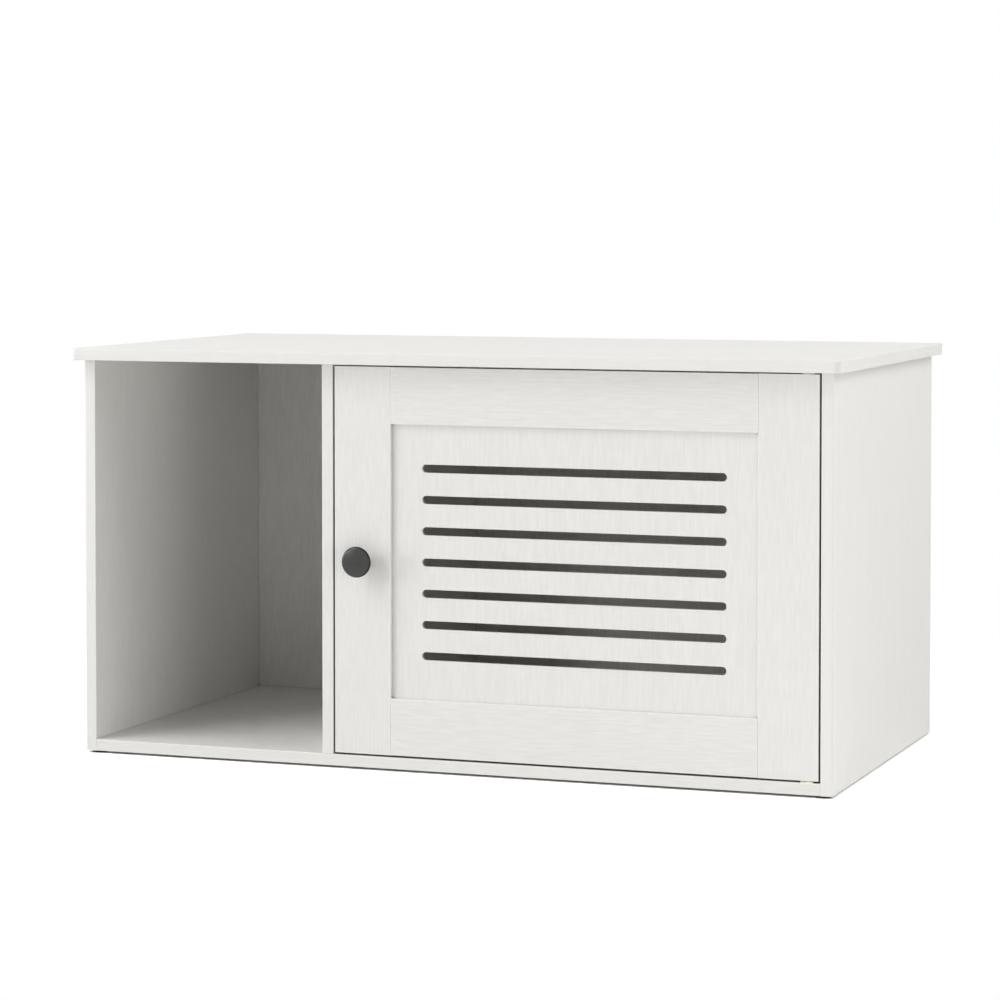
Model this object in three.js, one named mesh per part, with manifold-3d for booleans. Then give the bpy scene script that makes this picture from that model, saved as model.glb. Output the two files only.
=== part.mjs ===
// A cat litter box cabinet: a low flat-pack case with an open bay on the left and, behind an inset
// framed door, a closed bay for the litter box on the right. A cat enters the open bay and goes
// through an arched hole in the divider. The door turns on pivot pins at its right end.
//
// Lengths are millimetres. +X is to the right, +Y to the rear and +Z up. The whole case is laid out
// from its own corner (the left outer face, the front of the boards, the underside of the sides)
// and then moved, so that the origin is on the floor under the middle of the finished object.

import * as THREE from 'three';
import { mergeVertices } from 'three/addons/utils/BufferGeometryUtils.js';
import Module from 'manifold-3d';

const wasm = await Module();
wasm.setup();

// ---- Driving dimensions ----------------------------------------------------------------------

// case
const bodyWidth = 1000;
const bodyDepth = 530;
const bodyHeight = 510;
const boardThickness = 15;
const openBayWidth = 320;
const dividerHousingDepth = 3; // how far the divider's foot is let into the bottom panel
const dividerHousingSetback = 12; // from the front edge to where that housing stops
const boardArris = 0.8; // radius of the foil-wrapped long edges of a board
const sideArris = 1.8; // radius of the outer front edge of a side panel

// top panel
const topThickness = 15;
const topOverhangFront = 18.5;
const topOverhangSide = 13;
const topOverhangRear = 13.5;
const topCornerRadius = 9;
const topArris = 1.2;

// back panel, held in a groove all round
const backThickness = 3;
const backSetback = 15;
const backGrooveDepth = 6;

// cat entrance in the divider
const entranceWidth = 200;
const entranceHeight = 260;
const entranceSill = 80;
const entranceCentreDepth = 172;
const entranceLowerRadius = 30;
const entranceArris = 1;

// door frame and panel
const doorThickness = 15;
const doorGap = 2.5;
const stileWidth = 76;
const railHeight = 72;
const doorArris = 0.8;
const panelThickness = 5;
const panelRecess = 5;
const panelTongue = 8; // how far the panel and the rails reach into the groove

// slots in the door panel
const slotCount = 7;
const slotHeight = 10.5;
const slotSideMargin = 40.5;
const slotEndMargin = 55;

// knob
const knobDiameter = 39;
const knobProjection = 25;
const knobBaseDiameter = 17;
const knobNeckDiameter = 12;
const knobRimThickness = 3.4;
const knobRimEase = 2.2;
const knobCrown = 1.4;
const knobSweepDepth = 8; // from the back of the rim to where the neck is slimmest
const knobBaseThickness = 2;
const knobBaseFlare = 2;
const knobScrewDiameter = 4;
const knobScrewDepth = 11;
const knobScrewHeadDiameter = 9;
const knobScrewHeadHeight = 2.2;

// pivot hinges
const pivotInset = 14.7; // from the door's right edge
const pivotPinDiameter = 5;
const pivotPinDepth = 22;
const pivotPinChamfer = 0.5;
const pivotFlangeMargin = 1; // from the flange's rim to the door's faces
const pivotPlateWidth = 16.6;
const pivotPlateLength = 46;
const pivotPlateThickness = 1.6;
const pivotPlateFront = 0.6;
const pivotPlateCornerRadius = 2.5;
const pivotScrewDiameter = 3;
const pivotScrewLength = 12;
const pivotScrewHeadDiameter = 6;
const pivotScrewSpacing = 14;
const pivotScrewEndMargin = 8; // from the last screw to the rear end of the plate
const pivotRunningClearance = 0.2;

// magnetic catch on the divider
const catchHeight = 46;
const catchBodyHeight = 27;
const catchLength = 15;
const catchFlangeThickness = 2.2;
const catchScrewSpacing = 36;
const catchScrewDiameter = 3;
const catchScrewLength = 12;
const catchScrewHeadDiameter = 6;
const catchScrewHeadHeight = 1.8;
const catchSlotTravel = 2; // how far the catch can be set in or out from the middle
const catchCornerRadius = 1.5;
const magnetThickness = 4.4;
const magnetLength = 11;
const polePlateThickness = 1.2;
const polePlateHeight = 21;
const polePlateProud = 0.8;
const strikeWidth = 9;
const strikeEdgeMargin = 1.5; // from the door's free edge
const strikeHeight = 34;
const strikeThickness = 1.2;
const strikeCornerRadius = 2;
const strikeScrewLength = 10;
const strikeScrewDiameter = 2.6;
const strikeScrewHeadDiameter = 4.8;

// cam locks, dowels and screws that join the boards
const camDiameter = 14.4;
const camHeight = 12.2;
const camChamfer = 0.5;
const camSetback = 24; // from the end of the board that holds the cam to the cam's middle
const camCavityDiameter = 10.6;
const camWindowHeight = 7.2;
const camRecessWidth = 1.8;
const camRecessLength = 8;
const camRecessDepth = 3;
const boltNeckDiameter = 4.2;
const boltHeadDiameter = 6.4;
const boltHeadLength = 2.6;
const boltHeadChamfer = 0.5;
const boltCollarDiameter = 7;
const boltCollarLength = 2;
const boltThreadDiameter = 5.4;
const boltThreadLength = 10.7;
const boltPointTaper = 0.8;
const dowelDiameter = 8;
const dowelLength = 30;
const dowelChamfer = 1;
const dowelShallowDepth = 10; // into the face of a board, the rest goes into a board's end
const jointSetback = 50; // first cam behind the front edge, last cam ahead of the back panel
const caseScrewDiameter = 5;
const caseScrewLength = 48;
const caseScrewHeadDiameter = 9.5;
const caseScrewHexAcross = 3.4; // corner to corner
const caseScrewHexDepth = 2.4;

// feet
const footDiameter = 23;
const footHeight = 3;
const footInset = 14.6;
const footChamfer = 0.6;

// pan heads, with a shoulder and a crown in shares of the head's height and diameter
const panShoulderHeight = 0.45;
const panShoulderDiameter = 0.92;
const panCrownDiameter = 0.48;
const crossRecessShare = 0.56; // of the head's diameter
const crossRecessWidth = 1;
const crossRecessDepth = 1.2;

// facets of round pieces
const smallSegments = 12;
const camSegments = 16;
const pivotSegments = 16;
const footSegments = 24;
const knobSegments = 32;
const archSegments = 14;
const slotEndSegments = 6;
const topCornerSegments = 5;
const topArrisSegments = 2;
const cornerSegments = 4;

// clearances
const seatGap = 0.3; // round a piece that sits in a hole or a groove
const strikeGap = 0.3; // between the closed door's strike plate and the catch
const overcut = 1; // how far a cutter runs out past the face that it opens

// ---- Places worked out from the driving dimensions -------------------------------------------

const rightSideLeft = bodyWidth - boardThickness;
const floorTop = boardThickness;
const dividerLeft = boardThickness + openBayWidth;
const dividerRight = dividerLeft + boardThickness;
const dividerMiddle = dividerLeft + boardThickness / 2;
const topUnderside = bodyHeight;
const backRear = bodyDepth - backSetback;
const backFront = backRear - backThickness;

const doorLeft = dividerRight + doorGap;
const doorRight = rightSideLeft - doorGap;
const doorBottom = floorTop + doorGap;
const doorTop = topUnderside - doorGap;
const recessLeft = doorLeft + stileWidth;
const recessRight = doorRight - stileWidth;
const recessBottom = doorBottom + railHeight;
const recessTop = doorTop - railHeight;
const pivotX = doorRight - pivotInset;
const pivotY = doorThickness / 2;
const pivotFlangeDiameter = doorThickness - 2 * pivotFlangeMargin;
const pivotFlangeThickness = doorGap - pivotPlateThickness - seatGap;

const knobX = doorLeft + stileWidth / 2;
const knobZ = (doorBottom + doorTop) / 2;
const frontJointY = jointSetback;
const middleJointY = backFront / 2;
const rearJointY = backFront - jointSetback;

// ---- Materials -------------------------------------------------------------------------------

function makeMaterial(color, roughness, metalness) {
  return new THREE.MeshStandardMaterial({ color, roughness, metalness });
}

const whiteLaminate = () => makeMaterial(0xe9e8e4, 0.55, 0);
const zincSteel = () => makeMaterial(0xbbb6a8, 0.35, 1);
const darkPlastic = () => makeMaterial(0x3c3c3b, 0.5, 0);
const whitePlastic = () => makeMaterial(0xdedcd6, 0.5, 0);
const beechWood = () => makeMaterial(0xcaa574, 0.7, 0);
const blackRubber = () => makeMaterial(0x161616, 0.8, 0);
const knobLacquer = () => makeMaterial(0x4a4a49, 0.45, 0.2);
const darkFerrite = () => makeMaterial(0x2c2b2b, 0.8, 0);

// ---- Making and cutting solids ---------------------------------------------------------------

// A closed three.js geometry as a solid that can be joined and cut.
function solidFrom(geometry) {
  const bare = geometry.clone();
  bare.deleteAttribute('normal');
  bare.deleteAttribute('uv');
  const merged = mergeVertices(bare, 1e-4);
  const mesh = new wasm.Mesh({
    numProp: 3,
    vertProperties: new Float32Array(merged.attributes.position.array),
    triVerts: new Uint32Array(merged.index.array),
  });
  return new wasm.Manifold(mesh);
}

function geometryFrom(solid) {
  const mesh = solid.getMesh();
  const geometry = new THREE.BufferGeometry();
  geometry.setAttribute('position', new THREE.BufferAttribute(mesh.vertProperties, 3));
  geometry.setIndex(new THREE.BufferAttribute(mesh.triVerts, 1));
  geometry.computeVertexNormals();
  return geometry;
}

function cutAll(solid, cutters) {
  return cutters.reduce((rest, cutter) => rest.subtract(cutter), solid);
}

// Matrices that stand a shape's extrusion along an axis. Its flat coordinates then mean
// (x, y) for Z, (y, z) for X and (z, x) for Y.
const alongAxis = {
  Z: new THREE.Matrix4(),
  X: new THREE.Matrix4().makeBasis(
    new THREE.Vector3(0, 1, 0), new THREE.Vector3(0, 0, 1), new THREE.Vector3(1, 0, 0)),
  Y: new THREE.Matrix4().makeBasis(
    new THREE.Vector3(0, 0, 1), new THREE.Vector3(1, 0, 0), new THREE.Vector3(0, 1, 0)),
};

// Extrudes a flat shape along an axis, from one place on that axis to another.
function extrude(shape, axis, from, to, curveSegments = 3) {
  const geometry = new THREE.ExtrudeGeometry(shape, {
    depth: to - from,
    bevelEnabled: false,
    curveSegments,
  });
  geometry.translate(0, 0, from);
  geometry.applyMatrix4(alongAxis[axis]);
  return solidFrom(geometry);
}

// A rectangle whose corners can each have a radius: low-low, high-low, high-high, low-high.
function roundedRectangle(lowU, lowV, highU, highV, radii = [0, 0, 0, 0]) {
  const [r0, r1, r2, r3] = radii;
  const shape = new THREE.Shape();
  shape.moveTo(lowU + r0, lowV);
  shape.lineTo(highU - r1, lowV);
  if (r1) shape.absarc(highU - r1, lowV + r1, r1, -Math.PI / 2, 0);
  shape.lineTo(highU, highV - r2);
  if (r2) shape.absarc(highU - r2, highV - r2, r2, 0, Math.PI / 2);
  shape.lineTo(lowU + r3, highV);
  if (r3) shape.absarc(lowU + r3, highV - r3, r3, Math.PI / 2, Math.PI);
  shape.lineTo(lowU, lowV + r0);
  if (r0) shape.absarc(lowU + r0, lowV + r0, r0, Math.PI, Math.PI * 1.5);
  shape.closePath();
  return shape;
}

function block(low, high) {
  const size = new THREE.Vector3(high[0] - low[0], high[1] - low[1], high[2] - low[2]);
  const geometry = new THREE.BoxGeometry(size.x, size.y, size.z);
  geometry.translate((low[0] + high[0]) / 2, (low[1] + high[1]) / 2, (low[2] + high[2]) / 2);
  return solidFrom(geometry);
}

// A round solid turned about an axis. The profile lists [distance along the axis, radius], and
// it is closed onto the axis at both ends. The axis runs through the point (x, y, z).
function turned(profile, axis, [x, y, z], segments) {
  const points = profile.map(([along, radius]) => new THREE.Vector2(radius, along));
  if (points[0].x > 0) points.unshift(new THREE.Vector2(0, points[0].y));
  points.push(new THREE.Vector2(0, points[points.length - 1].y));
  const geometry = new THREE.LatheGeometry(points, segments);
  if (axis === 'X') geometry.rotateZ(-Math.PI / 2);
  if (axis === 'Z') geometry.rotateX(Math.PI / 2);
  geometry.translate(x, y, z);
  const solid = solidFrom(geometry);
  if (solid.volume() < 0) throw new Error('a turned profile has to run up its axis');
  return solid;
}

// A plain round rod or drill from one place on the axis to another.
function rod(axis, [x, y, z], diameter, from, to, segments) {
  return turned([[from, diameter / 2], [to, diameter / 2]], axis, [x, y, z], segments);
}

// ---- Placing pieces --------------------------------------------------------------------------

const cabinet = new THREE.Group();
const carcass = new THREE.Group();
const door = new THREE.Group();
cabinet.add(carcass, door);

// The front of the knob and the rear of the top panel bound the whole object.
const objectFront = -knobProjection;
const objectRear = bodyDepth + topOverhangRear;
carcass.position.set(-bodyWidth / 2, -(objectFront + objectRear) / 2, footHeight);
// The door's group stands on the hinge axis.
const hingeAxisFoot = new THREE.Vector3(pivotX, pivotY, doorBottom);
door.position.copy(carcass.position).add(hingeAxisFoot);

// Adds a piece that was laid out in the case's corner frame. Its mesh stands at the low corner
// of its own box.
function addPiece(group, name, solid, material) {
  const geometry = geometryFrom(solid);
  geometry.computeBoundingBox();
  const corner = geometry.boundingBox.min.clone();
  geometry.translate(-corner.x, -corner.y, -corner.z);
  const mesh = new THREE.Mesh(geometry, material);
  mesh.name = name;
  mesh.position.copy(corner);
  if (group === door) mesh.position.sub(hingeAxisFoot);
  group.add(mesh);
  return mesh;
}

// ---- Joint hardware --------------------------------------------------------------------------

// A board's end meets another board's face at each joint. The joint's point lies on that contact
// plane, "into" points from it into the board whose end it is, and "face" is the face of that
// board from which a cam is turned.
function boardJoint(point, into, face) {
  return { point, into, face };
}

// Turns a solid that was made for +Z as "into" and +X as "face" into a joint's own directions.
function poseForJoint(solid, joint) {
  const up = joint.into;
  const out = joint.face;
  const side = new THREE.Vector3().crossVectors(up, out);
  const m = new THREE.Matrix4().makeBasis(out, side, up);
  m.setPosition(joint.point);
  return solid.transform(m.elements);
}

// A cam bolt is screwed into the face of one board, and a cam in the end of the other grips its
// head. Thread below the contact plane, then collar, neck and head.
function camBolt() {
  const headTop = camSetback + boltHeadLength / 2;
  const neckTop = headTop - boltHeadLength;
  return turned([
    [-boltThreadLength, boltThreadDiameter / 2 - boltPointTaper],
    [0, boltThreadDiameter / 2],
    [0, boltCollarDiameter / 2],
    [boltCollarLength, boltCollarDiameter / 2],
    [boltCollarLength, boltNeckDiameter / 2],
    [neckTop, boltNeckDiameter / 2],
    [neckTop + boltHeadChamfer, boltHeadDiameter / 2],
    [headTop, boltHeadDiameter / 2 - boltHeadChamfer],
  ], 'Z', [0, 0, 0], smallSegments);
}

// The cam: a drum with a cavity for the bolt's head, a wide window where the head goes in and a
// narrow one, a quarter turn on, through which the bolt's neck comes out when it is locked.
function camDrum() {
  const outer = boardThickness / 2;
  const inner = outer - camHeight;
  const centre = [0, 0, camSetback];
  const drum = turned([
    [inner, camDiameter / 2],
    [outer - camChamfer, camDiameter / 2],
    [outer, camDiameter / 2 - camChamfer],
  ], 'X', centre, camSegments);
  const cavity = rod('X', centre, camCavityDiameter, -camWindowHeight / 2, camWindowHeight / 2,
    smallSegments);
  const windowDepth = camDiameter;
  const headWindow = block(
    [-camWindowHeight / 2, 0, camSetback - camWindowHeight / 2],
    [camWindowHeight / 2, windowDepth, camSetback + camWindowHeight / 2]);
  const neckWidth = boltNeckDiameter + 2 * seatGap;
  const neckWindow = block(
    [-neckWidth / 2, -neckWidth / 2, camSetback - windowDepth],
    [neckWidth / 2, windowDepth, camSetback]);
  const recess = [
    [camRecessLength, camRecessWidth],
    [camRecessWidth, camRecessLength],
  ].map(([wide, tall]) => block(
    [outer - camRecessDepth, -wide / 2, camSetback - tall / 2],
    [outer + overcut, wide / 2, camSetback + tall / 2]));
  return cutAll(drum, [cavity, headWindow, neckWindow, ...recess]);
}

// Holes for a cam joint. The board with the cam gets a bore for the bolt in its end and a blind
// hole for the cam in its face, and the other board gets the hole for the thread.
function camBoardCut() {
  const outer = boardThickness / 2;
  const bolt = rod('Z', [0, 0, 0], boltCollarDiameter + 2 * seatGap, -overcut, camSetback,
    smallSegments);
  const drum = rod('X', [0, 0, camSetback], camDiameter + 2 * seatGap,
    outer - camHeight - seatGap, outer + overcut, camSegments);
  return bolt.add(drum);
}

function boltBoardCut() {
  return rod('Z', [0, 0, 0], boltThreadDiameter + 2 * seatGap, -boltThreadLength - seatGap,
    overcut, smallSegments);
}

// A dowel: shallow in the face of one board, deep in the end of the other.
function dowelPin() {
  const radius = dowelDiameter / 2;
  return turned([
    [-dowelShallowDepth, radius - dowelChamfer],
    [-dowelShallowDepth + dowelChamfer, radius],
    [dowelLength - dowelShallowDepth - dowelChamfer, radius],
    [dowelLength - dowelShallowDepth, radius - dowelChamfer],
  ], 'Z', [0, 0, 0], smallSegments);
}

function dowelCut() {
  return rod('Z', [0, 0, 0], dowelDiameter + 2 * seatGap,
    -dowelShallowDepth - seatGap, dowelLength - dowelShallowDepth + seatGap, smallSegments);
}

const right = new THREE.Vector3(1, 0, 0);
const left = new THREE.Vector3(-1, 0, 0);
const up = new THREE.Vector3(0, 0, 1);
const down = new THREE.Vector3(0, 0, -1);

const bottomMiddle = boardThickness / 2;
const leftMiddle = boardThickness / 2;
const rightMiddle = bodyWidth - boardThickness / 2;
const camJoints = {};
for (const [place, y] of [['front', frontJointY], ['rear', rearJointY]]) {
  const at = (x, z) => new THREE.Vector3(x, y, z);
  camJoints[`bottom_left_${place}`] = boardJoint(at(boardThickness, bottomMiddle), right, down);
  camJoints[`bottom_right_${place}`] = boardJoint(at(rightSideLeft, bottomMiddle), left, down);
  camJoints[`top_left_${place}`] = boardJoint(at(leftMiddle, topUnderside), down, left);
  camJoints[`top_right_${place}`] = boardJoint(at(rightMiddle, topUnderside), down, left);
}

const dowelAt = (x, y, z, into, face) => boardJoint(new THREE.Vector3(x, y, z), into, face);
const dowelJoints = {
  bottom_left: dowelAt(boardThickness, middleJointY, bottomMiddle, right, down),
  bottom_right: dowelAt(rightSideLeft, middleJointY, bottomMiddle, left, down),
  top_left: dowelAt(leftMiddle, middleJointY, topUnderside, down, left),
  top_right: dowelAt(rightMiddle, middleJointY, topUnderside, down, left),
  divider_front: dowelAt(dividerMiddle, frontJointY, topUnderside, down, left),
  divider_rear: dowelAt(dividerMiddle, rearJointY, topUnderside, down, left),
};

// The cutters of every joint whose name one test accepts. The other test says at which of them
// the board holds the cam and not the bolt's thread.
function jointCuts(accepts, holdsCam) {
  const cuts = [];
  for (const [name, joint] of Object.entries(camJoints)) {
    const cut = holdsCam(name) ? camBoardCut() : boltBoardCut();
    if (accepts(name)) cuts.push(poseForJoint(cut, joint));
  }
  for (const [name, joint] of Object.entries(dowelJoints)) {
    if (accepts(name)) cuts.push(poseForJoint(dowelCut(), joint));
  }
  return cuts;
}

for (const [name, joint] of Object.entries(camJoints)) {
  addPiece(carcass, `cam_${name}`, poseForJoint(camDrum(), joint), zincSteel());
  addPiece(carcass, `cam_bolt_${name}`, poseForJoint(camBolt(), joint), zincSteel());
}
for (const [name, joint] of Object.entries(dowelJoints)) {
  addPiece(carcass, `dowel_${name}`, poseForJoint(dowelPin(), joint), beechWood());
}

// Two long screws come up through the bottom panel into the divider. The head lies in a
// countersink in the underside.
const caseScrewPlaces = { front: frontJointY, rear: rearJointY };

// The profile of a countersunk screw, from the middle of its head's face to its tip.
function countersunkScrew(length, diameter, headDiameter) {
  const headRadius = headDiameter / 2;
  const radius = diameter / 2;
  return [
    [0, headRadius],
    [headRadius - radius, radius],
    [length - diameter / 2, radius],
    [length, radius / 4],
  ];
}

// The profile of the hole for that screw. It starts above the face that the head is flush with.
function countersunkHole(length, diameter, headDiameter) {
  const headRadius = headDiameter / 2 + seatGap * Math.SQRT2;
  const radius = diameter / 2 + seatGap;
  return [
    [-overcut, headRadius],
    [0, headRadius],
    [headRadius - radius, radius],
    [length + seatGap, radius],
  ];
}

function caseScrew(y) {
  const profile = countersunkScrew(caseScrewLength, caseScrewDiameter, caseScrewHeadDiameter);
  const screw = turned(profile, 'Z', [dividerMiddle, y, 0], camSegments);
  const hexRecess = rod('Z', [dividerMiddle, y, 0], caseScrewHexAcross, -overcut,
    caseScrewHexDepth, 6);
  return screw.subtract(hexRecess);
}

function caseScrewCuts() {
  const profile = countersunkHole(caseScrewLength, caseScrewDiameter, caseScrewHeadDiameter);
  return Object.values(caseScrewPlaces).map((y) => turned(
    profile, 'Z', [dividerMiddle, y, 0], camSegments));
}

for (const [place, y] of Object.entries(caseScrewPlaces)) {
  addPiece(carcass, `divider_screw_${place}`, caseScrew(y), zincSteel());
}

// ---- Case boards -----------------------------------------------------------------------------

// The groove that holds the back panel, as one frame-shaped cutter just larger than the panel.
const backGroove = block(
  [boardThickness - backGrooveDepth, backFront - seatGap, floorTop - backGrooveDepth],
  [rightSideLeft + backGrooveDepth, backRear + seatGap, topUnderside + backGrooveDepth]);

const backPanel = block(
  [boardThickness - backGrooveDepth + seatGap, backFront, floorTop - backGrooveDepth + seatGap],
  [rightSideLeft + backGrooveDepth - seatGap, backRear, topUnderside + backGrooveDepth - seatGap]);
addPiece(carcass, 'back_panel', backPanel, whiteLaminate());

// Plan section of an upright board, with its own radius on each front edge.
function uprightSection(lowX, highX, frontLeftArris, frontRightArris) {
  return roundedRectangle(lowX, 0, highX, bodyDepth,
    [frontLeftArris, frontRightArris, boardArris, boardArris]);
}

function leftSidePanel() {
  const section = uprightSection(0, boardThickness, sideArris, boardArris);
  const board = extrude(section, 'Z', 0, bodyHeight);
  const cuts = jointCuts((name) => name.includes('_left'), (name) => name.startsWith('top'));
  return cutAll(board, [backGroove, ...cuts]);
}

function rightSidePanel() {
  const section = uprightSection(rightSideLeft, bodyWidth, boardArris, sideArris);
  const board = extrude(section, 'Z', 0, bodyHeight);
  const cuts = jointCuts((name) => name.includes('_right'), (name) => name.startsWith('top'));
  return cutAll(board, [backGroove, ...cuts]);
}

// The divider's foot is let into a housing in the bottom panel that stops behind the front edge,
// so that the joint looks plain from the front.
const dividerHousing = block(
  [dividerLeft - seatGap, dividerHousingSetback, floorTop - dividerHousingDepth],
  [dividerRight + seatGap, backFront, floorTop + overcut]);

function bottomPanel() {
  const section = roundedRectangle(0, 0, bodyDepth, boardThickness, Array(4).fill(boardArris));
  const board = extrude(section, 'X', boardThickness, rightSideLeft);
  const cuts = jointCuts((name) => name.startsWith('bottom'), () => true);
  return cutAll(board, [
    backGroove, dividerHousing, ...cuts, ...caseScrewCuts(), ...pivotScrewCuts(hingeEnd(-1)),
  ]);
}

function topPanel() {
  const shape = roundedRectangle(
    -topOverhangSide + topArris, -topOverhangFront + topArris,
    bodyWidth + topOverhangSide - topArris, bodyDepth + topOverhangRear - topArris,
    Array(4).fill(topCornerRadius - topArris));
  const geometry = new THREE.ExtrudeGeometry(shape, {
    depth: topThickness - 2 * topArris,
    bevelSize: topArris,
    bevelThickness: topArris,
    bevelSegments: topArrisSegments,
    curveSegments: topCornerSegments,
  });
  geometry.translate(0, 0, topUnderside + topArris);
  const onTop = (name) => name.startsWith('top') || name.startsWith('divider');
  const cuts = jointCuts(onTop, () => false);
  return cutAll(solidFrom(geometry), [backGroove, ...cuts, ...pivotScrewCuts(hingeEnd(1))]);
}

// The cat entrance: straight sides, a round arch on top and rounded lower corners, laid out as
// (depth, height).
function entranceOutline(grow = 0) {
  const halfWidth = entranceWidth / 2 + grow;
  const low = floorTop + entranceSill - grow;
  const springing = floorTop + entranceSill + entranceHeight - entranceWidth / 2;
  const corner = entranceLowerRadius + grow;
  const shape = new THREE.Shape();
  shape.moveTo(entranceCentreDepth - halfWidth + corner, low);
  shape.lineTo(entranceCentreDepth + halfWidth - corner, low);
  shape.absarc(entranceCentreDepth + halfWidth - corner, low + corner, corner, -Math.PI / 2, 0);
  shape.lineTo(entranceCentreDepth + halfWidth, springing);
  shape.absarc(entranceCentreDepth, springing, halfWidth, 0, Math.PI);
  shape.lineTo(entranceCentreDepth - halfWidth, low + corner);
  shape.absarc(entranceCentreDepth - halfWidth + corner, low + corner, corner, Math.PI, Math.PI * 1.5);
  shape.closePath();
  return shape;
}

// The hole's edges are eased on both faces, so its cutter flares at each end.
function entranceCutter() {
  const middle = extrude(entranceOutline(), 'X', dividerLeft - overcut, dividerRight + overcut,
    archSegments);
  const flare = (x, toward) => {
    const geometry = new THREE.ExtrudeGeometry(entranceOutline(), {
      depth: entranceArris,
      bevelSize: entranceArris,
      bevelThickness: entranceArris,
      bevelSegments: 1,
      curveSegments: archSegments,
    });
    geometry.translate(0, 0, toward > 0 ? 0 : -entranceArris);
    geometry.applyMatrix4(alongAxis.X);
    geometry.translate(x, 0, 0);
    return solidFrom(geometry);
  };
  return middle.add(flare(dividerRight, 1)).add(flare(dividerLeft, -1));
}

function dividerPanel() {
  const section = roundedRectangle(dividerLeft, 0, dividerRight, backFront - seatGap,
    [boardArris, boardArris, 0, 0]);
  const board = extrude(section, 'Z', floorTop - dividerHousingDepth, topUnderside);
  // Ahead of the housing the divider's foot is cut back to stand on the bottom panel.
  const shoulder = block(
    [dividerLeft - overcut, -overcut, floorTop - dividerHousingDepth - overcut],
    [dividerRight + overcut, dividerHousingSetback + seatGap, floorTop]);
  const cuts = jointCuts((name) => name.startsWith('divider'), () => true);
  return cutAll(board, [
    shoulder, entranceCutter(), ...cuts, ...caseScrewCuts(), ...catchScrewCuts(),
  ]);
}

// ---- Door ------------------------------------------------------------------------------------

const panelFront = panelRecess;
const panelRear = panelFront + panelThickness;
const grooveFront = panelFront - seatGap;
const grooveRear = panelRear + seatGap;
const grooveDepth = panelTongue + 2 * seatGap;

// Plan section of a stile or upright section of a rail, with all four long edges eased.
function frameSection(low, high, thicknessFirst) {
  const radii = Array(4).fill(doorArris);
  return thicknessFirst
    ? roundedRectangle(0, low, doorThickness, high, radii)
    : roundedRectangle(low, 0, high, doorThickness, radii);
}

// The groove round the inside of the frame, as one block that reaches into all four members.
const panelGroove = block(
  [recessLeft - grooveDepth, grooveFront, recessBottom - grooveDepth],
  [recessRight + grooveDepth, grooveRear, recessTop + grooveDepth]);

function doorStile(low, high) {
  const board = extrude(frameSection(low, high, false), 'Z', doorBottom, doorTop);
  // The groove runs the whole length of a stile, because the rails' tongues sit in it too.
  const groove = block(
    [recessLeft - grooveDepth, grooveFront, doorBottom - overcut],
    [recessRight + grooveDepth, grooveRear, doorTop + overcut]);
  return board.subtract(groove);
}

function leftStile() {
  const knobHole = rod('Y', [knobX, 0, knobZ], knobScrewDiameter + 2 * seatGap,
    -overcut, doorThickness + overcut, smallSegments);
  return cutAll(doorStile(doorLeft, recessLeft), [knobHole, strikeScrewCut()]);
}

function rightStile() {
  return cutAll(doorStile(recessRight, doorRight), pivotPinCuts());
}

function doorRail(low, high) {
  const board = extrude(frameSection(low, high, true), 'X', recessLeft, recessRight);
  const tongue = block(
    [recessLeft - panelTongue, panelFront, low + doorArris],
    [recessRight + panelTongue, panelRear, high - doorArris]);
  return board.add(tongue).subtract(panelGroove);
}

// A slot with full round ends that runs along the second of a shape's two directions, drawn
// into an empty path or shape.
function drawSlot(slot, centreU, radius, lowV, highV) {
  slot.moveTo(centreU + radius, lowV + radius);
  slot.lineTo(centreU + radius, highV - radius);
  slot.absarc(centreU, highV - radius, radius, 0, Math.PI);
  slot.lineTo(centreU - radius, lowV + radius);
  slot.absarc(centreU, lowV + radius, radius, Math.PI, Math.PI * 2);
  slot.closePath();
  return slot;
}

function slottedPanel() {
  const reach = panelTongue;
  const shape = roundedRectangle(
    recessBottom - reach, recessLeft - reach, recessTop + reach, recessRight + reach);
  const firstSlot = recessBottom + slotEndMargin;
  const lastSlot = recessTop - slotEndMargin;
  for (let i = 0; i < slotCount; i += 1) {
    const height = firstSlot + (lastSlot - firstSlot) * i / (slotCount - 1);
    shape.holes.push(drawSlot(new THREE.Path(), height, slotHeight / 2,
      recessLeft + slotSideMargin, recessRight - slotSideMargin));
  }
  return extrude(shape, 'Y', panelFront, panelRear, slotEndSegments);
}

// ---- Knob ------------------------------------------------------------------------------------

// The profile runs from the face, at the front, back to the door.
function doorKnob() {
  const rim = knobDiameter / 2;
  const faceY = -knobProjection;
  const rimFront = faceY + knobCrown;
  const rimRear = rimFront + knobRimThickness;
  const profile = [];
  const crownSteps = 3;
  for (let i = 0; i <= crownSteps; i += 1) {
    const share = i / crownSteps;
    profile.push([faceY + knobCrown * share * share, (rim - knobRimEase) * share]);
  }
  // The rim's front edge is eased by a quarter circle.
  profile.push([
    rimFront + knobRimEase * (1 - Math.SQRT1_2),
    rim - knobRimEase * (1 - Math.SQRT1_2),
  ]);
  profile.push([rimFront + knobRimEase, rim]);
  // A quarter of an ellipse sweeps from the rim in to the neck.
  const neck = knobNeckDiameter / 2;
  const sweepSteps = 6;
  for (let i = 0; i <= sweepSteps; i += 1) {
    const angle = (i / sweepSteps) * Math.PI / 2;
    profile.push([
      rimRear + knobSweepDepth * (1 - Math.cos(angle)),
      rim - (rim - neck) * Math.sin(angle),
    ]);
  }
  profile.push([-knobBaseThickness - knobBaseFlare, neck]);
  profile.push([-knobBaseThickness, knobBaseDiameter / 2]);
  profile.push([0, knobBaseDiameter / 2]);
  const body = turned(profile, 'Y', [knobX, 0, knobZ], knobSegments);
  const bore = rod('Y', [knobX, 0, knobZ], knobScrewDiameter + 2 * seatGap,
    -knobScrewDepth - seatGap, overcut, smallSegments);
  return body.subtract(bore);
}

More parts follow.
